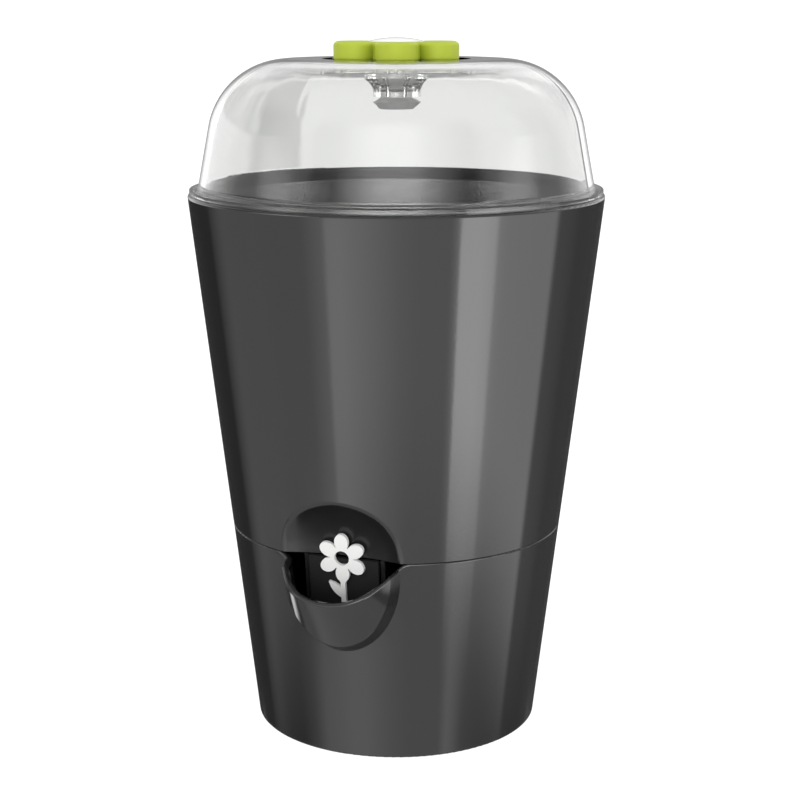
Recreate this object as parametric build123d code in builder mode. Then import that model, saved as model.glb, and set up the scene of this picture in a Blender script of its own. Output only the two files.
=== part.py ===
from build123d import *
import math
import os

# A tapered plant pot with a water reservoir, a fill spout with a float flower, and a clear vented dome.
# Millimetres, +Z up, origin at the middle of the base, the fill spout faces -Y.

# Body
rim_r = 70.0
base_r = 48.6
rim_z = 182.8
seam_z = 70.0
wall = 2.4
edge_round = 0.8
seam_round = 0.7
seat_gap = 0.3
taper = (rim_r - base_r) / rim_z
lean = math.degrees(math.atan(taper))


def wall_r(height):
    """Outer radius of the tapered body at a height."""
    return base_r + taper * height


# Reservoir base
floor_top = 4.0
foot_recess = 1.5
foot_width = 6.0

# Fill port: a dish in the shell's wall above the seam
port_rise = 19.3
dish_depth_seam = 6.7
dish_depth_high = 5.3
dish_turn_r = 71.0
dish_run = 20.0
dish_round = 3.0

# Spout: a bowl that stands out of the wall, with ellipses at its root, edge and tip
spout_mid_drop = 3.0
spout_root_in = 16.8
spout_root_half = 22.7
spout_root_low = 36.9
spout_edge_out = 1.2
spout_edge_half = 18.75
spout_edge_low = 25.7
spout_tip_out = 15.2
spout_tip_half = 11.4
spout_tip_low = 3.6
spout_wall = 2.0
spout_set = 1.1
spout_round = 0.8
notch_half = 21.2
notch_drop = 19.9
notch_turn = 4.0
lip_turn = 25.0

# Float well, float and white flower, all leaning with the front wall
guide_in = 6.1
well_half = 12.5
well_gap = 4.4
well_wall = 1.4
well_top_gap = 0.5
inlet_h = 6.0
inlet_w = 14.0
rib_h = 2.0
rib_wall = 1.2
float_gap = 0.5
float_h = 14.0
float_low = 32.0
float_proud = 1.0
float_plate_t = 1.4
float_plate_gap = 0.6
float_round = 3.0
flower_t = 1.3
flower_hub_r = 4.1
flower_petal_half = 2.35
flower_petal_len = 2.95
flower_ring_r = 5.4
flower_hole_r = 2.5
flower_petals = 6
stalk_half = 0.8
calyx_top = 5.9
calyx_low = 8.6
leaf_reach = 4.9
leaf_belly = 3.7
leaf_tip = 8.6
leaf_top = 11.4
leaf_low = 14.2
foot_half = 5.0
foot_top = 23.0
foot_low = 31.0

# Outer shell
spigot_h = 5.0
spigot_wall = 1.8
spigot_root = 4.0
spigot_gap_half = 31.0
rebate_h = 1.6
rebate_wall = 2.6
rim_land = 4.4
rim_band = 6.0

# Dome
dome_h = 44.2
dome_wall = 2.0
dome_foot_in = 3.23
roof_land = 11.4
dome_lean = 10.8
flange_in = 0.7
flange_t = 1.6
flange_fillet = 2.4
dome_turn = 19.5
recess_depth = 1.1
recess_gap = 1.9
vent_count = 6
vent_r = 2.6
vent_out = 2.9

# Neck under the roof, in drops from the knob's seat
neck_drop = 10.4
neck_r = 7.9
neck_top_r = 10.6
neck_waist_r = 8.6
neck_waist_drop = 6.0
neck_round_drop = 8.6
neck_top_drop = 3.3
neck_flare_drop = 6.8
neck_bore_r = 5.5
slit_count = 8
slit_w = 0.9
slit_top_drop = 2.6

# Stem, seal, knob and cap
stem_gap = 0.25
stem_flare = 1.8
stem_seat_gap = 0.2
head_r = 8.1
head_low_r = 5.4
head_low_drop = 14.9
head_wide_drop = 12.4
head_top_drop = 10.9
seal_section_r = 0.65
seal_drop = 8.0
seal_bore_gap = 0.05
seal_side_gap = 0.1
knob_gap = 0.6
knob_h = 6.1
knob_round = 1.1
petal_count = 6
petal_r = 7.0
petal_ring_r = 15.7
knob_hub_r = 13.8
peg_r = 4.5
peg_h = 3.6
peg_gap = 0.1
cap_r = 9.4
cap_sink = 1.2
cap_edge_h = 1.3
cap_crown = 1.2
cap_gap = 0.15
cap_pin_r = 2.0
cap_pin_h = 3.0

# Inner pot and its soil basket
collar_gap = 0.3
collar_wall = 1.5
collar_h = 1.8
pot_wall = 1.8
step_depth = 0.3
step_drop = 1.0
pot_floor_rise = 6.0
pot_floor_t = 2.0
pot_floor_round = 5.0
front_flat_gap = 0.9
front_flat_h = 9.0
front_slope = 1.4
drain_r = 2.5
drain_in = 12.9
drain_side_count = 4
drain_side_span = 66.0
basket_y = 14.0
basket_r = 21.0
basket_low_r = 16.5
basket_low_z = 6.0
basket_wall = 1.8
basket_flange = 3.5
basket_flange_t = 1.8
basket_gap = 0.3
basket_slots = 10
slot_w = 3.0
slot_margin = 8.0
basket_hole_r = 1.5
basket_hole_ring_r = 9.0
basket_holes = 6

# Worked-out places
half_turn = 180.0
cut_over = 10.0
reach = rim_r + cut_over
seam_r = wall_r(seam_z)
port_top_z = seam_z + port_rise
dish_axis_d = seam_r - dish_depth_seam + dish_turn_r
dish_axis = Axis((0, -dish_axis_d, 0), (0, 0, 1))
spout_mid_z = seam_z - spout_mid_drop
guide_d = seam_r - guide_in
well_outer_half = well_half + well_wall
well_low_y = (seam_z - floor_top) * taper - guide_d
well_depth = basket_y - basket_low_r - well_gap - well_wall - well_low_y
lean_sin = math.sin(math.radians(lean))
lean_cos = math.cos(math.radians(lean))
guide_plane = Plane((0, -guide_d, seam_z), x_dir=(1, 0, 0), z_dir=(0, -lean_sin, lean_cos))
flower_plane = Plane(
    (0, -guide_d - float_proud * lean_cos, seam_z - float_proud * lean_sin),
    x_dir=(1, 0, 0),
    z_dir=(0, -lean_cos, -lean_sin),
)
dome_top = rim_z + dome_h
flange_r = rim_r - flange_in
flange_top = rim_z + flange_t
lean_slope = math.tan(math.radians(dome_lean))
shoulder_cos = math.cos(math.radians(dome_lean))
shoulder_sin = math.sin(math.radians(dome_lean))
recess_r = petal_ring_r + petal_r + recess_gap
roof_r = recess_r + roof_land
shoulder_room = rim_r - dome_foot_in - roof_r - dome_h * lean_slope
shoulder_r = shoulder_room / (shoulder_cos - (1 - shoulder_sin) * lean_slope)
shoulder_z = dome_top - shoulder_r
seat_z = dome_top - recess_depth
vent_ring_r = petal_ring_r + vent_out
neck_low_z = seat_z - neck_drop
neck_flare_z = seat_z - neck_flare_drop
slit_top_z = seat_z - slit_top_drop
head_low_z = seat_z - head_low_drop
head_wide_z = seat_z - head_wide_drop
head_top_z = seat_z - head_top_drop
seal_z = seat_z - seal_drop
stem_r = neck_bore_r - stem_gap
stem_top_r = stem_r + stem_flare
roof_bore_r = stem_top_r + stem_gap
knob_z = seat_z + knob_gap
knob_top = knob_z + knob_h
seal_ring_r = neck_bore_r - seal_bore_gap - seal_section_r
petal_angle = dome_turn - 90


def dome_wall_r(height, inset):
    """Radius of the dome's straight side at a height, moved in by an inset."""
    touch_r = roof_r + (shoulder_r - inset) * shoulder_cos
    touch_z = shoulder_z + (shoulder_r - inset) * shoulder_sin
    return touch_r + (touch_z - height) * lean_slope


flange_bore_r = dome_wall_r(rim_z, dome_wall)
collar_top = rim_z + collar_h
collar_r = dome_wall_r(collar_top, dome_wall) - collar_gap
pot_r = collar_r + step_depth
rebate_r = rim_r - rebate_wall
flange_rest_r = rebate_r - seat_gap
pot_floor_z = seam_z + pot_floor_rise
drain_ring_r = pot_r - taper * (rim_z - pot_floor_z) - drain_in


def body_cone(inset, low, high):
    """Solid cone of the tapered body between two heights, moved in by an inset."""
    with BuildPart() as cone:
        with BuildSketch(Plane.XZ):
            with BuildLine():
                Polyline(
                    (0, low),
                    (wall_r(low) - inset, low),
                    (wall_r(high) - inset, high),
                    (0, high),
                    close=True,
                )
            make_face()
        revolve()
    return cone.part


def dish_cutter(inset):
    """Body that hollows the port's dish out of the shell's wall, moved in by an inset."""
    mid_z = (port_top_z + seam_z) / 2
    seam_y = dish_depth_seam + inset - seam_r
    mid_y = dish_depth_high + inset - wall_r(mid_z)
    high_y = inset - wall_r(port_top_z)
    with BuildPart() as cutter:
        with BuildSketch(Plane.YZ):
            with BuildLine():
                ThreePointArc((seam_y, seam_z), (mid_y, mid_z), (high_y, port_top_z))
                Polyline(
                    (high_y, port_top_z),
                    (high_y - dish_run, port_top_z + dish_run),
                    (-dish_axis_d, port_top_z + dish_run),
                    (-dish_axis_d, seam_z - cut_over),
                    (seam_y, seam_z - cut_over),
                    (seam_y, seam_z),
                )
            make_face()
        revolve(axis=dish_axis)
    return cutter.part


def spout_bowl(inset, shift):
    """Bowl of the spout from its root to its tip, moved in by an inset and back by a shift."""
    root_plane = Plane.XZ.offset(seam_r - spout_root_in)
    edge_plane = Plane.XZ.offset(seam_r + spout_edge_out - shift)
    tip_plane = Plane.XZ.offset(seam_r + spout_tip_out - shift)
    middle = (0, spout_mid_z)
    with BuildPart() as bowl:
        with BuildSketch(root_plane):
            with Locations(middle):
                Ellipse(spout_root_half - inset, spout_root_low - inset)
        with BuildSketch(edge_plane):
            with Locations(middle):
                Ellipse(spout_edge_half - inset, spout_edge_low - inset)
        loft()
        with BuildSketch(edge_plane):
            with Locations(middle):
                Ellipse(spout_edge_half - inset, spout_edge_low - inset)
        with BuildSketch(tip_plane):
            with Locations(middle):
                Ellipse(spout_tip_half - inset, spout_tip_low - inset)
        loft()
    return bowl.part


alcove_outside = dish_cutter(0)
alcove_inside = dish_cutter(wall)

with BuildPart() as notch:
    with BuildSketch(Plane.XZ):
        with BuildLine():
            FilletPolyline(
                (-reach, seam_z),
                (-notch_half, seam_z),
                (0, seam_z - notch_drop),
                (notch_half, seam_z),
                (reach, seam_z),
                radius=[notch_turn, lip_turn, notch_turn],
            )
            Polyline((reach, seam_z), (reach, seam_z + reach), (-reach, seam_z + reach), (-reach, seam_z))
        make_face()
    extrude(amount=reach)

with BuildPart() as spout_outside:
    add(spout_bowl(0, 0))
    add(notch.part, mode=Mode.SUBTRACT)
    bowl_edges = spout_outside.faces().filter_by(GeomType.BSPLINE).edges()
    fillet(bowl_edges.filter_by(lambda edge: edge.center().Y < spout_root_in / 2 - seam_r), spout_round)

with BuildPart() as lower_cone:
    with BuildSketch(Plane.XZ) as lower_side:
        with BuildLine():
            Polyline((0, 0), (base_r, 0), (seam_r, seam_z), (0, seam_z), close=True)
        make_face()
        fillet(lower_side.vertices().sort_by_distance((base_r, 0))[0], edge_round)
    revolve()
    add(notch.part, mode=Mode.SUBTRACT)
    cone_edges = lower_cone.faces().filter_by(GeomType.CONE).sort_by(SortBy.AREA)[-1].edges()
    fillet(cone_edges.filter_by(lambda edge: edge.bounding_box().max.Z > seam_z / 2), seam_round)

with BuildPart() as upper_cone:
    with BuildSketch(Plane.XZ) as upper_side:
        with BuildLine():
            Polyline((0, seam_z), (seam_r, seam_z), (rim_r, rim_z), (0, rim_z), close=True)
        make_face()
        fillet(upper_side.vertices().sort_by_distance((rim_r, rim_z))[0], edge_round)
    revolve()

with BuildPart() as reservoir_room:
    add(body_cone(wall, floor_top, seam_z))
    add(spout_bowl(spout_wall, spout_set))

with BuildPart() as reservoir:
    add(lower_cone.part)
    add(spout_outside.part)
    add(reservoir_room.part, mode=Mode.SUBTRACT)
    with BuildSketch(Plane.XY):
        Circle(base_r - foot_width)
    extrude(amount=foot_recess, mode=Mode.SUBTRACT)
    with BuildSketch(Plane.XY.offset(floor_top)):
        with Locations((0, well_low_y + well_depth / 2)):
            rib_x = 2 * (well_half - seat_gap)
            rib_y = well_depth - 2 * seat_gap
            Rectangle(rib_x, rib_y)
            Rectangle(rib_x - 2 * rib_wall, rib_y - 2 * rib_wall, mode=Mode.SUBTRACT)
    extrude(amount=rib_h)
reservoir.part.label = "reservoir"

with BuildPart() as float_well:
    with BuildSketch(guide_plane):
        with Locations((0, (well_depth + well_wall) / 2)):
            Rectangle(2 * well_outer_half, well_depth + well_wall)
        with Locations((0, well_depth / 2)):
            Rectangle(2 * well_half, well_depth, mode=Mode.SUBTRACT)
    extrude(amount=seam_z, both=True)
    with BuildSketch(Plane.XY.offset(floor_top)):
        Circle(reach)
    extrude(amount=seam_z - well_top_gap - floor_top, mode=Mode.INTERSECT)
    with BuildSketch(Plane.YZ):
        with Locations((well_low_y + well_depth / 2, floor_top)):
            Rectangle(inlet_w, 2 * inlet_h)
    extrude(amount=reach, both=True, mode=Mode.SUBTRACT)
float_well.part.label = "float_well"

with BuildPart() as float_block:
    with BuildSketch(guide_plane.offset(-float_low)):
        with Locations((0, (well_depth - float_gap - float_proud) / 2)):
            Rectangle(2 * (well_half - float_gap), well_depth - float_gap + float_proud)
    extrude(amount=float_h)
    fillet(float_block.edges().filter_by(Axis((0, 0, 0), guide_plane.z_dir)).group_by(Axis.Y)[-1], float_round)
    with BuildSketch(guide_plane.offset(float_h - float_low)):
        with Locations((0, float_plate_t / 2 - float_proud)):
            Rectangle(2 * (well_half - float_gap), float_plate_t)
    extrude(amount=float_low - float_h - float_plate_gap)
float_block.part.label = "float_block"

with BuildPart() as flower_indicator:
    with BuildSketch(flower_plane):
        Circle(flower_hub_r)
        with PolarLocations(flower_ring_r, flower_petals, start_angle=90):
            Ellipse(flower_petal_len, flower_petal_half)
        with BuildLine():
            Polyline(
                (-flower_petal_half, -calyx_top),
                (-stalk_half, -calyx_low),
                (-stalk_half, -foot_top),
                (-foot_half, -foot_top),
                (-foot_half, -foot_low),
                (foot_half, -foot_low),
                (foot_half, -foot_top),
                (stalk_half, -foot_top),
                (stalk_half, -calyx_low),
                (flower_petal_half, -calyx_top),
                close=True,
            )
        make_face()
        with BuildLine():
            leaf_mid = -(leaf_tip + leaf_low) / 2
            ThreePointArc((0, -leaf_low), (-leaf_belly, leaf_mid), (-leaf_reach, -leaf_tip))
            ThreePointArc((-leaf_reach, -leaf_tip), (-leaf_reach / 2, -leaf_tip - stalk_half), (0, -leaf_top))
            Line((0, -leaf_top), (0, -leaf_low))
        make_face()
        Circle(flower_hole_r, mode=Mode.SUBTRACT)
    extrude(amount=flower_t)
flower_indicator.part.label = "flower_indicator"

with BuildPart() as shell_room:
    add(body_cone(wall, seam_z, rim_z))
    add(alcove_inside, mode=Mode.SUBTRACT)

with BuildPart() as outer_shell:
    add(upper_cone.part)
    add(alcove_outside, mode=Mode.SUBTRACT)
    low_edges = outer_shell.edges().filter_by(lambda edge: edge.bounding_box().max.Z < port_top_z + wall)
    fillet(low_edges.filter_by(lambda edge: edge.bounding_box().size.Z > dish_round), dish_round)
    add(shell_room.part, mode=Mode.SUBTRACT)
    with BuildSketch(Plane.XZ):
        with BuildLine():
            Polyline(
                (wall_r(rim_z - rim_band) - wall / 2, rim_z - rim_band),
                (wall_r(rim_z - rim_band) - wall, rim_z - rim_band),
                (rim_r - rim_land, rim_z - rebate_h - (rim_land - wall)),
                (rim_r - rim_land, rim_z - rebate_h),
                (rebate_r, rim_z - rebate_h),
                (rebate_r, rim_z),
                (rim_r - edge_round - seat_gap, rim_z),
                close=True,
            )
        make_face()
    revolve()
    spigot_r = wall_r(seam_z) - wall - seat_gap
    spigot_low_r = wall_r(seam_z - spigot_h) - wall - seat_gap
    with BuildSketch(Plane.XZ):
        with BuildLine():
            Polyline(
                (spigot_low_r, seam_z - spigot_h),
                (spigot_low_r - spigot_wall, seam_z - spigot_h),
                (spigot_r - spigot_wall, seam_z),
                (wall_r(seam_z + spigot_root) - wall, seam_z + spigot_root),
                (wall_r(seam_z + spigot_root) - wall / 2, seam_z + spigot_root),
                (wall_r(seam_z) - wall / 2, seam_z),
                (spigot_r, seam_z),
                close=True,
            )
        make_face()
    spigot = revolve(mode=Mode.PRIVATE)
    with BuildSketch(Plane.XZ):
        with Locations((0, seam_z)):
            Rectangle(2 * spigot_gap_half, 4 * spigot_h)
    opening = extrude(amount=reach, mode=Mode.PRIVATE)
    add(spigot - opening)
outer_shell.part.label = "outer_shell"

def pot_profile(inset, floor_z, top_z):
    """Side of the inner pot moved in by an inset, closed on the axis between two heights."""
    with BuildPart() as body:
        with BuildSketch(Plane.XZ) as side:
            with BuildLine():
                Polyline(
                    (0, floor_z),
                    (pot_r - inset - taper * (rim_z - floor_z), floor_z),
                    (pot_r - inset - taper * (rim_z - top_z), top_z),
                    (0, top_z),
                    close=True,
                )
            make_face()
            fillet(side.vertices().group_by(Axis.Y)[0].sort_by(Axis.X)[-1], pot_floor_round - inset)
        revolve()
        flat_d = wall_r(seam_z) - dish_depth_seam - wall - front_flat_gap - inset
        flat_top = pot_floor_z + front_flat_h - inset
        with BuildSketch(Plane.YZ):
            with BuildLine():
                Polyline(
                    (-flat_d, seam_z),
                    (-flat_d, flat_top),
                    (-reach, flat_top + front_slope * (reach - flat_d)),
                    (-reach, seam_z),
                    close=True,
                )
            make_face()
        extrude(amount=reach, both=True, mode=Mode.SUBTRACT)
    return body.part


pot_underside = pot_floor_z - pot_floor_t
pot_inside = pot_profile(pot_wall, pot_floor_z, rim_z)

with BuildPart() as grow_pot:
    add(pot_profile(0, pot_underside, rim_z - rebate_h))
    with BuildSketch(Plane.XZ):
        with BuildLine():
            Polyline(
                (collar_r - collar_wall, rim_z - rim_band),
                (flange_rest_r - rebate_h, rim_z - rebate_h),
                (flange_rest_r, rim_z - rebate_h),
                (flange_rest_r, rim_z),
                (collar_r, rim_z),
                (collar_r, collar_top),
                (collar_r - collar_wall, collar_top),
                close=True,
            )
        make_face()
    revolve()
    add(pot_inside, mode=Mode.SUBTRACT)
    with BuildSketch(Plane.XY.offset(rim_z - step_drop)):
        Circle(collar_r - collar_wall)
    extrude(amount=reach, mode=Mode.SUBTRACT)
    with BuildSketch(Plane.XY.offset(pot_underside)):
        with Locations((0, basket_y)):
            Circle(basket_r + basket_gap)
        for middle in (0, half_turn):
            with PolarLocations(
                drain_ring_r,
                drain_side_count,
                start_angle=middle - drain_side_span / 2,
                angular_range=drain_side_span,
                endpoint=True,
            ):
                Circle(drain_r)
    extrude(amount=pot_floor_t, mode=Mode.SUBTRACT)
grow_pot.part.label = "grow_pot"

basket_plane = Plane((0, basket_y, 0), x_dir=(1, 0, 0), z_dir=(0, -1, 0))
basket_axis = Axis((0, basket_y, 0), (0, 0, 1))

with BuildPart() as wick_basket:
    with BuildSketch(basket_plane):
        with BuildLine():
            Polyline(
                (0, basket_low_z),
                (basket_low_r, basket_low_z),
                (basket_r, pot_floor_z),
                (basket_r + basket_flange, pot_floor_z),
                (basket_r + basket_flange, pot_floor_z + basket_flange_t),
                (basket_r - basket_wall, pot_floor_z + basket_flange_t),
                (basket_low_r - basket_wall, basket_low_z + basket_wall),
                (0, basket_low_z + basket_wall),
                close=True,
            )
        make_face()
    revolve(axis=basket_axis)
    slot_low = basket_low_z + slot_margin
    slot_high = pot_underside - slot_margin
    with BuildSketch(Plane.XY.offset(slot_low)):
        with Locations((0, basket_y)):
            with PolarLocations(basket_r, basket_slots):
                Rectangle(basket_r, slot_w)
    extrude(amount=slot_high - slot_low, mode=Mode.SUBTRACT)
    with BuildSketch(Plane.XY.offset(basket_low_z)):
        with Locations((0, basket_y)):
            with PolarLocations(basket_hole_ring_r, basket_holes):
                Circle(basket_hole_r)
    extrude(amount=basket_wall, mode=Mode.SUBTRACT)
wick_basket.part.label = "wick_basket"

with BuildPart() as dome:
    with BuildSketch(Plane.XZ) as dome_profile:
        with BuildLine():
            foot_r = dome_wall_r(flange_top, 0)
            outer_arc = CenterArc((roof_r, shoulder_z), shoulder_r, dome_lean, 90 - dome_lean)
            inner_arc = CenterArc((roof_r, shoulder_z), shoulder_r - dome_wall, dome_lean, 90 - dome_lean)
            Polyline(
                inner_arc @ 0,
                (flange_bore_r, rim_z),
                (flange_r, rim_z),
                (flange_r, flange_top),
                (foot_r, flange_top),
                outer_arc @ 0,
            )
            Polyline(
                outer_arc @ 1,
                (recess_r, dome_top),
                (recess_r, seat_z),
                (roof_bore_r, seat_z),
                (roof_bore_r, seat_z - dome_wall),
                (recess_r + dome_wall, seat_z - dome_wall),
                (recess_r + dome_wall, dome_top - dome_wall),
                inner_arc @ 1,
            )
        make_face()
        foot_corner = dome_profile.vertices().sort_by_distance((foot_r, flange_top))[0]
        fillet(foot_corner, flange_fillet)
    revolve()
    with BuildSketch(Plane.XZ):
        with BuildLine():
            waist = (neck_r, seat_z - neck_round_drop)
            flare = (neck_top_r, seat_z - neck_top_drop)
            ThreePointArc(waist, (neck_waist_r, seat_z - neck_waist_drop), flare)
            Polyline(
                flare,
                (neck_top_r, seat_z - dome_wall / 2),
                (roof_bore_r, seat_z - dome_wall / 2),
                (roof_bore_r, neck_flare_z + stem_flare),
                (neck_bore_r, neck_flare_z),
                (neck_bore_r, neck_low_z),
                (neck_r, neck_low_z),
                waist,
            )
        make_face()
    revolve()
    with BuildSketch(Plane.XY.offset(neck_low_z)):
        with PolarLocations(neck_r, slit_count, start_angle=petal_angle + half_turn / slit_count):
            Rectangle(neck_r, slit_w)
    extrude(amount=slit_top_z - neck_low_z, mode=Mode.SUBTRACT)
    with BuildSketch(Plane.XY.offset(seat_z - dome_wall)):
        with PolarLocations(vent_ring_r, vent_count, start_angle=petal_angle):
            Circle(vent_r)
    extrude(amount=dome_wall, mode=Mode.SUBTRACT)
dome.part.label = "dome"

with BuildPart() as vent_stem:
    groove_r = seal_ring_r - seal_section_r
    groove_half = seal_section_r + seal_side_gap
    stem_flare_z = neck_flare_z + stem_seat_gap
    with BuildSketch(Plane.XZ):
        with BuildLine():
            Polyline(
                (0, head_low_z),
                (head_low_r, head_low_z),
                (head_r, head_wide_z),
                (stem_r, head_top_z),
                (stem_r, seal_z - groove_half),
                (groove_r, seal_z - groove_half),
                (groove_r, seal_z + groove_half),
                (stem_r, seal_z + groove_half),
                (stem_r, stem_flare_z),
                (stem_top_r, stem_flare_z + stem_flare),
                (stem_top_r, knob_z),
                (peg_r, knob_z),
                (peg_r, knob_z + peg_h),
                (cap_pin_r + peg_gap, knob_z + peg_h),
                (cap_pin_r + peg_gap, knob_z),
                (0, knob_z),
                close=True,
            )
        make_face()
    revolve()
vent_stem.part.label = "vent_stem"

with BuildPart() as stem_seal:
    with BuildSketch(Plane.XZ):
        with Locations((seal_ring_r, seal_z)):
            Circle(seal_section_r)
    revolve()
stem_seal.part.label = "stem_seal"

with BuildPart() as flower_knob:
    with BuildSketch(Plane.XY.offset(knob_z)):
        Circle(knob_hub_r)
        with PolarLocations(petal_ring_r, petal_count, start_angle=petal_angle):
            Circle(petal_r)
    extrude(amount=knob_h)
    fillet(flower_knob.edges().group_by(Axis.Z)[-1] + flower_knob.edges().group_by(Axis.Z)[0], knob_round)
    with BuildSketch(Plane.XY.offset(knob_top - cap_sink)):
        Circle(cap_r + cap_gap)
    extrude(amount=cap_sink, mode=Mode.SUBTRACT)
    with BuildSketch(Plane.XY.offset(knob_z)):
        Circle(peg_r + peg_gap)
    extrude(amount=knob_h, mode=Mode.SUBTRACT)
flower_knob.part.label = "flower_knob"

with BuildPart() as knob_cap:
    cap_low = knob_top - cap_sink
    with BuildSketch(Plane.XZ):
        with BuildLine():
            Polyline(
                (0, cap_low - cap_pin_h),
                (cap_pin_r, cap_low - cap_pin_h),
                (cap_pin_r, cap_low),
                (cap_r, cap_low),
                (cap_r, cap_low + cap_edge_h),
            )
            TangentArc(
                (0, cap_low + cap_edge_h + cap_crown),
                (cap_r, cap_low + cap_edge_h),
                tangent=(1, 0),
            )
            Line((0, cap_low + cap_edge_h + cap_crown), (0, cap_low - cap_pin_h))
        make_face()
    revolve()
knob_cap.part.label = "knob_cap"

parts = [
    reservoir,
    float_well,
    float_block,
    flower_indicator,
    outer_shell,
    grow_pot,
    wick_basket,
    dome,
    vent_stem,
    stem_seal,
    flower_knob,
    knob_cap,
]
os.makedirs("parts", exist_ok=True)
for piece in parts:
    export_step(piece.part, f"parts/{piece.part.label}.step")
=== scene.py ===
"""Looks of a tapered self-watering pot with a clear vented dome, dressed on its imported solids."""
import logging
import math
from dataclasses import dataclass, field
from enum import Enum
from typing import Dict, Optional, Sequence, Tuple, Union

import bpy
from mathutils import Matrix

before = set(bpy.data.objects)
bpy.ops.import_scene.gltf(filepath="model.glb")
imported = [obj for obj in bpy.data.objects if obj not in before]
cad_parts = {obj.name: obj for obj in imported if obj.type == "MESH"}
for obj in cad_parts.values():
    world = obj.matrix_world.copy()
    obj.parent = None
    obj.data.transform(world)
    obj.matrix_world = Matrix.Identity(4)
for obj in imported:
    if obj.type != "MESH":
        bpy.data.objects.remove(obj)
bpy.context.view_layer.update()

logging.basicConfig(level=logging.INFO, format="%(name)s: %(message)s")
LOG = logging.getLogger("plant_pot")

Socket = bpy.types.NodeSocket
Value = Union[Socket, float]
Rgb = Tuple[float, float, float]
Span = Tuple[float, float]
Bands = Sequence[Tuple[float, float]]
Steps = Sequence[Tuple[Span, Value]]

# Outside of the pot's tapered wall, in metres and metres per metre of height
FOOT_RADIUS = 0.0486
TAPER = 0.1171

# Small effects of the mould, with depths in metres
CLOUD_MIDDLE = 0.5
CLOUD_SPAN: Span = (0.35, 0.65)
COAT_ROUGHNESS = 0.04
GRAIN_STRENGTH = 0.25
SCUFF_SCALE = 420.0
SCUFF_ROUGHNESS = 0.3
RECESS_DEPTH = 0.003

# Turns in degrees
HALF_TURN = 180.0
WHOLE_TURN = 360.0

WHITE = (1.0, 1.0, 1.0, 1.0)


class Coat(Enum):
    """How much clear gloss a moulded surface carries over its colour."""

    NONE = 0.0
    FULL = 0.5


@dataclass
class Graph:
    """Node tree, with short forms for the nodes that the finishes and the light share."""

    tree: bpy.types.NodeTree

    def add(self, kind: str, **settings: object) -> bpy.types.Node:
        """Add a node.

        Args:
            kind: Type name of the node.
            settings: Properties of the node, by name.

        Returns:
            The new node.
        """
        node = self.tree.nodes.new(kind)
        for name, setting in settings.items():
            setattr(node, name, setting)
        return node

    def feed(self, socket: Socket, value: object) -> None:
        """Fill an input.

        Args:
            socket: Input of a node.
            value: Output to link to it, or a plain value.
        """
        if isinstance(value, bpy.types.NodeSocket):
            self.tree.links.new(value, socket)
        else:
            socket.default_value = value

    def math(self, operation: str, *values: Value, clamp: bool = False) -> Socket:
        """Work out one sum.

        Args:
            operation: Name of the math operation.
            values: Sockets or numbers, in the order of the node's inputs.
            clamp: Whether the result is kept between 0 and 1.

        Returns:
            The socket with the result.
        """
        node = self.add("ShaderNodeMath", operation=operation, use_clamp=clamp)
        for socket, value in zip(node.inputs, values):
            self.feed(socket, value)
        return node.outputs[0]

    def blend(self, value: Socket, span: Span, ends: Tuple[Value, Value], kind: str = "LINEAR") -> Socket:
        """Pass from one level to another while a value crosses a span.

        Args:
            value: Socket with the value.
            span: Values where the change starts and ends.
            ends: Levels before and after the span.
            kind: Name of the interpolation.

        Returns:
            The socket with the level.
        """
        node = self.add("ShaderNodeMapRange", interpolation_type=kind)
        names = ("Value", "From Min", "From Max", "To Min", "To Max")
        for name, level in zip(names, (value, *span, *ends)):
            self.feed(node.inputs[name], level)
        return node.outputs["Result"]

    def place(self) -> Socket:
        """Give the place on the object, in its own frame."""
        return self.add("ShaderNodeTexCoord").outputs["Object"]

    def noise(self, scale: Value, detail: float) -> Socket:
        """Add cloudy noise.

        Args:
            scale: Socket or number with the noise's scale.
            detail: Number of finer layers.

        Returns:
            The socket with the noise.
        """
        node = self.add("ShaderNodeTexNoise")
        self.feed(node.inputs["Vector"], self.place())
        self.feed(node.inputs["Scale"], scale)
        self.feed(node.inputs["Detail"], detail)
        return node.outputs["Fac"]

    def height(self, place: Socket) -> Socket:
        """Give the height of a place.

        Args:
            place: Socket with the place.

        Returns:
            The socket with the height.
        """
        split = self.add("ShaderNodeSeparateXYZ")
        self.feed(split.inputs["Vector"], place)
        return split.outputs["Z"]

    def effect(self, group: bpy.types.NodeTree, settings: Dict[str, object]) -> bpy.types.NodeOutputs:
        """Use a shared effect.

        Args:
            group: Node group of the effect.
            settings: Values of its inputs, by name.

        Returns:
            The outputs of the effect.
        """
        node = self.add("ShaderNodeGroup", node_tree=group)
        for name, value in settings.items():
            self.feed(node.inputs[name], value)
        return node.outputs


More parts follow.
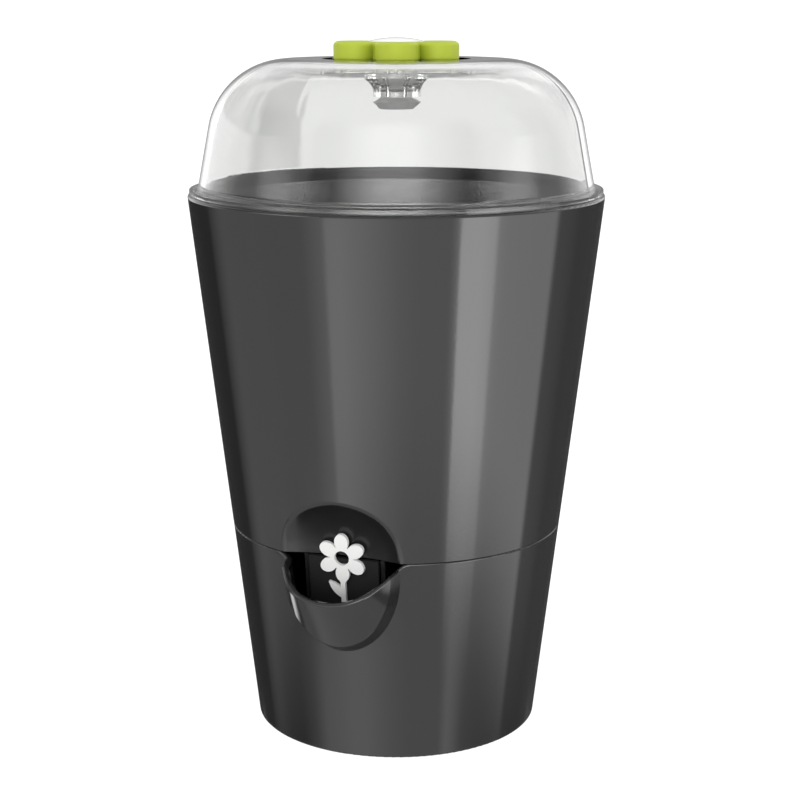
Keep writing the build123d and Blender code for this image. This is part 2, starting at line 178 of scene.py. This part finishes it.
class Effects:
    """Shader node groups that several finishes share, each built on first use."""

    COLOURS = ("Tint", "Color")

    def __init__(self) -> None:
        """Start with no group built."""
        self._groups: Dict[str, bpy.types.NodeTree] = {}

    def _start(
        self, name: str, takes: Sequence[str], gives: Sequence[str]
    ) -> Tuple[Graph, bpy.types.NodeOutputs, bpy.types.NodeInputs]:
        """Open a new group.

        Args:
            name: Name of the group.
            takes: Names of its inputs.
            gives: Names of its outputs.

        Returns:
            The group's graph, the sockets that it is given and the sockets that it fills.
        """
        tree = bpy.data.node_groups.new(name, "ShaderNodeTree")
        for in_out, names in (("INPUT", takes), ("OUTPUT", gives)):
            for socket in names:
                kind = "NodeSocketColor" if socket in self.COLOURS else "NodeSocketFloat"
                tree.interface.new_socket(socket, in_out=in_out, socket_type=kind)
        self._groups[name] = tree
        graph = Graph(tree)
        return graph, graph.add("NodeGroupInput").outputs, graph.add("NodeGroupOutput").inputs

    def moulded_skin(self) -> bpy.types.NodeTree:
        """Give the group for moulded plastic: cloudy tint, uneven gloss and fine grain.

        Returns:
            The node group with the outputs Color, Roughness and Height.
        """
        name = "moulded_skin"
        if name not in self._groups:
            takes = ("Tint", "Cloud", "Cloud Scale", "Gloss Low", "Gloss High", "Grain Scale")
            graph, given, made = self._start(name, takes, ("Color", "Roughness", "Height"))
            cloud = graph.noise(given["Cloud Scale"], detail=3.0)
            centred = graph.math("SUBTRACT", cloud, CLOUD_MIDDLE)
            spread = graph.math("MULTIPLY_ADD", centred, given["Cloud"], 1.0)
            tinted = graph.add("ShaderNodeVectorMath", operation="SCALE")
            graph.feed(tinted.inputs[0], given["Tint"])
            graph.feed(tinted.inputs["Scale"], spread)
            gloss = graph.blend(cloud, CLOUD_SPAN, (given["Gloss Low"], given["Gloss High"]))
            graph.feed(made["Color"], tinted.outputs["Vector"])
            graph.feed(made["Roughness"], gloss)
            graph.feed(made["Height"], graph.noise(given["Grain Scale"], detail=2.0))
        return self._groups[name]

    def scuff_band(self) -> bpy.types.NodeTree:
        """Give the group for faint scuffs in a level band, where a piece is set down or rubs.

        Returns:
            The node group with the output Mask.
        """
        name = "scuff_band"
        if name not in self._groups:
            graph, given, made = self._start(name, ("Level", "Half Width", "Strength"), ("Mask",))
            above = graph.math("SUBTRACT", graph.height(graph.place()), given["Level"])
            away = graph.math("ABSOLUTE", above)
            near = graph.math("DIVIDE", away, given["Half Width"], clamp=True)
            inside = graph.math("SUBTRACT", 1.0, near)
            broken = graph.math("MULTIPLY", inside, graph.noise(SCUFF_SCALE, detail=4.0))
            graph.feed(made["Mask"], graph.math("MULTIPLY", broken, given["Strength"], clamp=True))
        return self._groups[name]

    def recess(self) -> bpy.types.NodeTree:
        """Give the group for faces that lie deeper than a tapered outside, which keep the mould's satin.

        Returns:
            The node group with the output Mask.
        """
        name = "recess"
        if name not in self._groups:
            graph, given, made = self._start(name, ("Foot Radius", "Taper", "Depth"), ("Mask",))
            place = graph.place()
            flat = graph.add("ShaderNodeVectorMath", operation="MULTIPLY")
            graph.feed(flat.inputs[0], place)
            graph.feed(flat.inputs[1], (1.0, 1.0, 0.0))
            radius = graph.add("ShaderNodeVectorMath", operation="LENGTH")
            graph.feed(radius.inputs[0], flat.outputs["Vector"])
            outside = graph.math("MULTIPLY_ADD", graph.height(place), given["Taper"], given["Foot Radius"])
            deep = graph.math("SUBTRACT", outside, radius.outputs["Value"])
            graph.feed(made["Mask"], graph.math("DIVIDE", deep, given["Depth"], clamp=True))
        return self._groups[name]


EFFECTS = Effects()
MATERIALS: Dict[str, bpy.types.Material] = {}


@dataclass(frozen=True)
class Finish:
    """Moulded surface with a cloudy tint and an uneven gloss."""

    name: str
    tint: Rgb
    gloss_low: float
    gloss_high: float
    cloud: float = 0.12
    cloud_scale: float = 26.0
    grain_scale: float = 900.0
    ior: float = 1.5

    def material(self) -> bpy.types.Material:
        """Give the material of this finish, made on first use.

        Returns:
            The node material.
        """
        if self.name not in MATERIALS:
            made = bpy.data.materials.new(self.name)
            made.use_nodes = True
            graph = Graph(made.node_tree)
            inputs = made.node_tree.nodes["Principled BSDF"].inputs
            settings = {
                "Tint": (*self.tint, 1.0),
                "Cloud": self.cloud,
                "Cloud Scale": self.cloud_scale,
                "Gloss Low": self.gloss_low,
                "Gloss High": self.gloss_high,
                "Grain Scale": self.grain_scale,
            }
            skin = graph.effect(EFFECTS.moulded_skin(), settings)
            graph.feed(inputs["IOR"], self.ior)
            graph.feed(inputs["Base Color"], skin["Color"])
            self._fill(graph, inputs, skin)
            MATERIALS[self.name] = made
        return MATERIALS[self.name]

    def _fill(self, graph: Graph, inputs: bpy.types.NodeInputs, skin: bpy.types.NodeOutputs) -> None:
        """Fill the inputs that differ from one kind of finish to another."""
        raise NotImplementedError


@dataclass(frozen=True)
class MouldedFinish(Finish):
    """Opaque moulded plastic or rubber."""

    grain_depth: float = 0.00002
    coat: Coat = Coat.NONE
    shine: float = 0.5
    glow: float = 0.0
    recess_satin: float = 0.0
    scuff_level: Optional[float] = None
    scuff_half: float = 0.004
    scuff_strength: float = 0.5

    def _fill(self, graph: Graph, inputs: bpy.types.NodeInputs, skin: bpy.types.NodeOutputs) -> None:
        """Add shine, coat, scuffs, satin recesses and grain.

        Args:
            graph: Graph of the material.
            inputs: Inputs of the material's shader.
            skin: Outputs of the moulded skin.
        """
        graph.feed(inputs["Specular IOR Level"], self.shine)
        graph.feed(inputs["Coat Weight"], self.coat.value)
        graph.feed(inputs["Coat Roughness"], COAT_ROUGHNESS)
        # Emission in the finish's own tint is painted light: a glow that stands in for light reaching the
        # piece
        graph.feed(inputs["Emission Color"], (*self.tint, 1.0))
        graph.feed(inputs["Emission Strength"], self.glow)
        rough = skin["Roughness"]
        if self.scuff_level is not None:
            settings = {
                "Level": self.scuff_level,
                "Half Width": self.scuff_half,
                "Strength": self.scuff_strength,
            }
            scuff = graph.effect(EFFECTS.scuff_band(), settings)
            rough = graph.math("MULTIPLY_ADD", scuff["Mask"], SCUFF_ROUGHNESS, rough)
        if self.recess_satin > 0.0:
            settings = {"Foot Radius": FOOT_RADIUS, "Taper": TAPER, "Depth": RECESS_DEPTH}
            recess = graph.effect(EFFECTS.recess(), settings)
            rough = graph.math("MULTIPLY_ADD", recess["Mask"], self.recess_satin, rough)
        graph.feed(inputs["Roughness"], rough)
        bump = graph.add("ShaderNodeBump")
        graph.feed(bump.inputs["Strength"], GRAIN_STRENGTH)
        graph.feed(bump.inputs["Distance"], self.grain_depth)
        graph.feed(bump.inputs["Height"], skin["Height"])
        graph.feed(inputs["Normal"], bump.outputs["Normal"])


@dataclass(frozen=True)
class ClearFinish(Finish):
    """Clear moulded plastic with a faint uneven polish."""

    cloud: float = 0.01
    cloud_scale: float = 20.0
    grain_scale: float = 60.0
    ior: float = 1.49

    def _fill(self, graph: Graph, inputs: bpy.types.NodeInputs, skin: bpy.types.NodeOutputs) -> None:
        """Let the light through.

        Args:
            graph: Graph of the material.
            inputs: Inputs of the material's shader.
            skin: Outputs of the moulded skin.
        """
        graph.feed(inputs["Metallic"], 0.0)
        graph.feed(inputs["Transmission Weight"], 1.0)
        graph.feed(inputs["Roughness"], skin["Roughness"])


CHARCOAL_TINT: Rgb = (0.0130, 0.0130, 0.0134)
CHARCOAL = MouldedFinish(
    "charcoal_gloss",
    CHARCOAL_TINT,
    gloss_low=0.05,
    gloss_high=0.08,
    cloud=0.10,
    recess_satin=0.16,
    scuff_level=0.0,
    scuff_half=0.003,
)
CHARCOAL_INSIDE = MouldedFinish("charcoal_inside", CHARCOAL_TINT, gloss_low=0.14, gloss_high=0.20, cloud=0.10)
SOOT = MouldedFinish(
    "basket_matt",
    (0.030, 0.030, 0.031),
    gloss_low=0.42,
    gloss_high=0.55,
    grain_depth=0.00006,
)
LEAF_GREEN = MouldedFinish(
    "lime_satin",
    (0.415, 0.500, 0.040),
    gloss_low=0.40,
    gloss_high=0.48,
    cloud=0.06,
    grain_depth=0.00003,
    shine=0.22,
)
PEARL_WHITE = MouldedFinish(
    "pearl_gloss",
    (0.93, 0.93, 0.92),
    gloss_low=0.16,
    gloss_high=0.22,
    cloud=0.03,
    coat=Coat.FULL,
)
PETAL_WHITE = MouldedFinish(
    "petal_satin",
    (0.80, 0.80, 0.79),
    gloss_low=0.36,
    gloss_high=0.44,
    cloud=0.04,
    shine=0.2,
)
# The glow stands in for light that reaches the stem through the clear dome
STEM_GREY = MouldedFinish(
    "stem_satin",
    (0.50, 0.50, 0.50),
    gloss_low=0.24,
    gloss_high=0.32,
    cloud=0.08,
    glow=0.24,
)
SEAL_DARK = MouldedFinish("seal_rubber", (0.03, 0.03, 0.03), gloss_low=0.45, gloss_high=0.6, cloud=0.15)
FLOAT_DARK = MouldedFinish(
    "float_matt",
    (0.02, 0.02, 0.0205),
    gloss_low=0.55,
    gloss_high=0.65,
    cloud=0.1,
    grain_depth=0.0001,
    shine=0.0,
)
DOME_CLEAR = ClearFinish("dome_clear_plastic", (0.870, 0.876, 0.866), gloss_low=0.0, gloss_high=0.02)


@dataclass
class SubAssembly:
    """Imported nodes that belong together, each with its finish."""

    nodes: Dict[str, Finish]

    def dress(self) -> None:
        """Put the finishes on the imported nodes."""
        for node, finish in self.nodes.items():
            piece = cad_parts[node]
            material = finish.material()
            if not piece.material_slots:
                piece.data.materials.append(material)
            for slot in piece.material_slots:
                slot.material = material
            LOG.info("%s dressed in %s", node, material.name)


@dataclass
class WaterBase(SubAssembly):
    """Reservoir with its spout and the well for the float."""

    nodes: Dict[str, Finish] = field(
        default_factory=lambda: {"reservoir": CHARCOAL, "float_well": CHARCOAL_INSIDE}
    )


@dataclass
class FloatGauge(SubAssembly):
    """Float with its white flower."""

    nodes: Dict[str, Finish] = field(
        default_factory=lambda: {"float_block": FLOAT_DARK, "flower_indicator": PETAL_WHITE}
    )


@dataclass
class PotBody(SubAssembly):
    """Outer shell and the inner pot with its soil basket."""

    nodes: Dict[str, Finish] = field(
        default_factory=lambda: {"outer_shell": CHARCOAL, "grow_pot": CHARCOAL_INSIDE, "wick_basket": SOOT}
    )


@dataclass
class DomeCover(SubAssembly):
    """Clear dome with its vent holes and slit neck."""

    nodes: Dict[str, Finish] = field(default_factory=lambda: {"dome": DOME_CLEAR})


@dataclass
class VentKnob(SubAssembly):
    """Green flower knob, white cap, grey stem and its seal."""

    nodes: Dict[str, Finish] = field(
        default_factory=lambda: {
            "flower_knob": LEAF_GREEN,
            "knob_cap": PEARL_WHITE,
            "vent_stem": STEM_GREY,
            "stem_seal": SEAL_DARK,
        }
    )


@dataclass
class SoftLight:
    """Soft light all round, with levels of its own for shiny, dull and clear surfaces.

    Bands give levels, or factors on levels, by direction round the pot in degrees from the camera.
    Spans are heights of the direction, from -1 straight down to 1 straight up, where one level
    passes into the next. Only the strip's spans are degrees. All were set until the
    highlights were close to those of the photograph, so they suit its side best.
    """

    view_turn: float
    backdrop_level: float = 1.12
    down_level: float = 0.80
    top_level: float = 1.05

    # Panels for shiny surfaces, from steep downward directions upward
    under_span: Span = (-0.90, -0.78)
    under_bands: Bands = (
        (-180.0, 0.08), (-140.0, 0.25), (-106.0, 0.55), (-60.0, 0.95), (0.0, 1.10),
        (60.0, 0.90), (88.0, 0.75), (106.0, 0.12), (180.0, 0.03),
    )
    low_span: Span = (-0.70, -0.62)
    low_bands: Bands = (
        (-180.0, 1.70), (-164.0, 2.40), (-152.0, 2.20), (-144.0, 0.08), (-100.0, 0.05), (-85.0, 0.15),
        (-72.0, 0.55), (-60.0, 1.30), (-36.0, 1.75), (-25.0, 1.75), (-3.0, 1.30), (9.0, 1.13),
        (36.0, 1.08), (43.0, 1.75), (48.0, 1.50), (57.0, 0.75), (68.0, 0.55), (82.0, 0.40),
        (99.0, 0.18), (112.0, 0.03), (140.0, 0.05), (148.0, 1.60), (180.0, 1.70),
    )
    side_span: Span = (-0.56, -0.41)
    side_bands: Bands = (
        (-180.0, 0.05), (-128.0, 0.05), (-112.0, 0.60), (-85.0, 0.95), (-54.0, 1.12), (-41.6, 1.85),
        (-39.2, 2.95), (-32.0, 3.00), (-15.0, 2.40), (2.0, 1.75), (12.0, 1.55), (30.5, 1.50),
        (34.9, 2.45), (36.6, 6.20), (49.0, 6.05), (56.9, 5.35), (58.9, 3.50), (64.0, 3.05),
        (80.0, 2.60), (98.0, 2.00), (102.0, 0.58), (123.0, 0.20), (146.0, 0.10), (180.0, 0.05),
    )

    # Factor on the side panels, above them
    gap_span: Span = (-0.325, -0.30)
    gap_bands: Bands = (
        (-180.0, 1.00), (-46.0, 1.00), (-38.0, 0.30), (32.0, 0.45), (36.0, 0.14), (40.0, 1.00), (180.0, 1.00),
    )

    # Panels in level directions
    high_span: Span = (-0.14, -0.07)
    high_bands: Bands = (
        (-180.0, 0.30), (-166.0, 0.45), (-152.0, 1.50), (-122.0, 1.40), (-104.0, 0.80), (-90.0, 0.90),
        (-78.0, 2.60), (-66.0, 4.20), (-55.0, 3.60), (-49.0, 1.90), (-37.0, 2.30), (-26.0, 5.40),
        (-13.0, 9.40), (9.0, 9.40), (20.0, 5.40), (31.0, 3.20), (41.0, 1.00), (47.0, 1.20),
        (55.0, 3.60), (66.0, 4.60), (78.0, 2.80), (92.0, 1.00), (108.0, 0.80), (125.0, 1.40),
        (152.0, 1.55), (166.0, 0.45), (180.0, 0.30),
    )

    # Factor on the level panels, above them
    faint_span: Span = (0.165, 0.235)
    faint_bands: Bands = (
        (-180.0, 3.00), (-166.0, 2.00), (-152.0, 0.66), (-125.0, 0.64), (-105.0, 0.24),
        (70.0, 0.24), (112.0, 1.05), (152.0, 0.75), (166.0, 2.30), (180.0, 3.00),
    )
    top_span: Span = (0.45, 0.75)

    # Light on dull surfaces, by height, with a factor by direction round the pot
    dull_low: float = 0.50
    dull_side: float = 1.95
    dull_top: float = 0.80
    dull_side_span: Span = (-0.25, 0.10)
    dull_top_span: Span = (0.20, 0.60)
    dull_bands: Bands = (
        (-180.0, 0.90), (-75.0, 0.95), (-35.0, 1.30), (35.0, 1.30), (75.0, 0.95), (180.0, 0.90),
    )

    # Light seen through the dome, with a narrow darker strip in degrees from straight behind the pot
    clear_low: float = 0.55
    clear_top: float = 0.95
    clear_side_span: Span = (-0.75, -0.45)
    clear_top_span: Span = (0.12, 0.55)
    strip_share: float = 0.73
    strip_start: Span = (3.70, 4.07)
    strip_end: Span = (6.20, 7.44)

    def _turn(self, graph: Graph, direction: bpy.types.NodeOutputs) -> Socket:
        """Give the direction round the pot as a share of a whole turn, from the side away from the camera.

        Args:
            graph: Graph of the world.
            direction: Outputs with the parts of the direction.

        Returns:
            The socket with the share.
        """
        front = graph.math("MULTIPLY", direction["Y"], -1.0)
        angle = graph.math("ARCTAN2", direction["X"], front)
        turned = graph.math("SUBTRACT", angle, math.radians(self.view_turn) - math.pi)
        share = graph.math("DIVIDE", turned, 2.0 * math.pi)
        return graph.math("FLOORED_MODULO", share, 1.0)

    def _ring(self, graph: Graph, turn: Socket, bands: Bands) -> Socket:
        """Make levels that change with the direction round the pot.

        Args:
            graph: Graph of the world.
            turn: Socket with the direction, as a share of a whole turn.
            bands: Pairs of direction in degrees from the camera and level.

        Returns:
            The socket with the level.
        """
        strongest = max(level for _, level in bands)
        ramp = graph.add("ShaderNodeValToRGB")
        stops = ramp.color_ramp.elements
        while len(stops) > 1:
            stops.remove(stops[-1])
        for index, (degrees, level) in enumerate(bands):
            place = (degrees + HALF_TURN) / WHOLE_TURN
            stop = stops[0] if index == 0 else stops.new(place)
            stop.position = place
            grey = level / strongest
            stop.color = (grey, grey, grey, 1.0)
        graph.feed(ramp.inputs["Fac"], turn)
        return graph.math("MULTIPLY", ramp.outputs["Color"], strongest)

    def _stack(self, graph: Graph, height: Socket, lowest: Value, steps: Steps) -> Value:
        """Lay levels over each other by the height of the direction.

        Args:
            graph: Graph of the world.
            height: Socket with the height of the direction.
            lowest: Level straight down.
            steps: Pairs of the span where a level starts and that level, from low to high.

        Returns:
            The socket with the level.
        """
        level = lowest
        for span, above in steps:
            level = graph.blend(height, span, (level, above), kind="SMOOTHSTEP")
        return level

    def _shiny(self, graph: Graph, height: Socket, turn: Socket) -> Value:
        """Make the light that shiny surfaces mirror.

        Args:
            graph: Graph of the world.
            height: Socket with the height of the direction.
            turn: Socket with the direction round the pot.

        Returns:
            The socket with the level.
        """
        under, low, side, gap, high, faint = (
            self._ring(graph, turn, bands)
            for bands in (
                self.under_bands,
                self.low_bands,
                self.side_bands,
                self.gap_bands,
                self.high_bands,
                self.faint_bands,
            )
        )
        steps = (
            (self.under_span, under),
            (self.low_span, low),
            (self.side_span, side),
            (self.gap_span, graph.math("MULTIPLY", side, gap)),
            (self.high_span, high),
            (self.faint_span, graph.math("MULTIPLY", high, faint)),
            (self.top_span, self.top_level),
        )
        return self._stack(graph, height, self.down_level, steps)

    def _dull(self, graph: Graph, height: Socket, turn: Socket) -> Value:
        """Make the light that falls on dull surfaces.

        Args:
            graph: Graph of the world.
            height: Socket with the height of the direction.
            turn: Socket with the direction round the pot.

        Returns:
            The socket with the level.
        """
        steps = ((self.dull_side_span, self.dull_side), (self.dull_top_span, self.dull_top))
        level = self._stack(graph, height, self.dull_low, steps)
        return graph.math("MULTIPLY", self._ring(graph, turn, self.dull_bands), level)

    def _clear(self, graph: Graph, height: Socket, turn: Socket) -> Value:
        """Make the light that is seen through the dome.

        Args:
            graph: Graph of the world.
            height: Socket with the height of the direction.
            turn: Socket with the direction round the pot.

        Returns:
            The socket with the level.
        """
        share = 1.0
        for degrees, after in ((self.strip_start, self.strip_share), (self.strip_end, 1.0)):
            span = tuple(edge / WHOLE_TURN for edge in degrees)
            share = graph.blend(turn, span, (share, after), kind="SMOOTHSTEP")
        seen = graph.math("MULTIPLY", share, self.backdrop_level)
        steps = ((self.clear_side_span, seen), (self.clear_top_span, self.clear_top))
        return self._stack(graph, height, self.clear_low, steps)

    def _background(self, graph: Graph, level: Value) -> Socket:
        """Make a white background of a light level.

        Args:
            graph: Graph of the world.
            level: Socket or number with the light level.

        Returns:
            The socket with the background shader.
        """
        node = graph.add("ShaderNodeBackground")
        graph.feed(node.inputs["Color"], WHITE)
        graph.feed(node.inputs["Strength"], level)
        return node.outputs["Background"]

    def build(self) -> None:
        """Set the world, with the light that each kind of ray meets."""
        world = bpy.data.worlds.new("studio")
        bpy.context.scene.world = world
        world.use_nodes = True
        # Sampled by itself, the light would take the wrong branch of the choices below
        world.cycles.sampling_method = "NONE"
        graph = Graph(world.node_tree)
        graph.tree.nodes.clear()
        split = graph.add("ShaderNodeSeparateXYZ")
        graph.feed(split.inputs["Vector"], graph.add("ShaderNodeTexCoord").outputs["Generated"])
        height = split.outputs["Z"]
        turn = self._turn(graph, split.outputs)
        ray = graph.add("ShaderNodeLightPath").outputs
        shader = self._background(graph, self._clear(graph, height, turn))
        choices = (
            ("Glossy Depth", self._shiny(graph, height, turn)),
            ("Diffuse Depth", self._dull(graph, height, turn)),
            ("Is Camera Ray", self.backdrop_level),
        )
        for name, level in choices:
            mixed = graph.add("ShaderNodeMixShader")
            graph.feed(mixed.inputs["Fac"], graph.math("MINIMUM", ray[name], 1.0))
            graph.feed(mixed.inputs[1], shader)
            graph.feed(mixed.inputs[2], self._background(graph, level))
            shader = mixed.outputs["Shader"]
        out = graph.add("ShaderNodeOutputWorld")
        graph.feed(out.inputs["Surface"], shader)


@dataclass
class Studio:
    """Pale floor, soft light all round and the camera, in metres and degrees."""

    view_turn: float = 19.5
    view_pitch: float = 12.51
    view_distance: float = 0.6044
    view_height: float = 0.2452
    view_reach: float = 200.0
    lens_mm: float = 80.69
    sensor_mm: float = 36.0
    shift_x: float = 0.00456
    floor_half: float = 30.0
    floor_grey: float = 0.2
    floor_roughness: float = 0.9
    floor_glow: float = 0.92

    def floor(self) -> bpy.types.Object:
        """Lay the pale floor.

        Returns:
            The floor object.
        """
        bpy.ops.object.select_all(action="DESELECT")
        bpy.ops.mesh.primitive_plane_add(size=2 * self.floor_half, location=(0, 0, 0))
        floor = bpy.context.active_object
        floor.name = "pale_floor"
        paint = bpy.data.materials.new("pale_floor")
        paint.use_nodes = True
        inputs = paint.node_tree.nodes["Principled BSDF"].inputs
        inputs["Base Color"].default_value = (self.floor_grey, self.floor_grey, self.floor_grey, 1.0)
        inputs["Roughness"].default_value = self.floor_roughness
        inputs["Emission Color"].default_value = WHITE
        inputs["Emission Strength"].default_value = self.floor_glow
        floor.data.materials.append(paint)
        floor.visible_diffuse = False
        floor.visible_glossy = False
        floor.visible_transmission = False
        floor.visible_shadow = False
        return floor

    def camera(self) -> bpy.types.Object:
        """Set the camera at the photograph's angle.

        Returns:
            The camera object.
        """
        turn = math.radians(self.view_turn)
        lens = bpy.data.cameras.new("studio_camera")
        lens.lens = self.lens_mm
        lens.sensor_width = self.sensor_mm
        lens.shift_x = self.shift_x
        lens.clip_end = self.view_reach
        eye = bpy.data.objects.new("studio_camera", lens)
        bpy.context.scene.collection.objects.link(eye)
        eye.location = (
            self.view_distance * math.sin(turn),
            -self.view_distance * math.cos(turn),
            self.view_height,
        )
        eye.rotation_euler = (math.radians(90.0 - self.view_pitch), 0.0, turn)
        bpy.context.scene.camera = eye
        return eye

    def build(self) -> None:
        """Set floor, light, camera and a plain picture transform."""
        self.floor()
        SoftLight(self.view_turn).build()
        self.camera()
        bpy.context.scene.view_settings.view_transform = "Standard"
        LOG.info("studio set")


def main() -> None:
    """Dress each sub-assembly, then set the studio."""
    for part in (WaterBase(), FloatGauge(), PotBody(), DomeCover(), VentKnob()):
        part.dress()
    Studio().build()


if __name__ == "__main__":
    main()
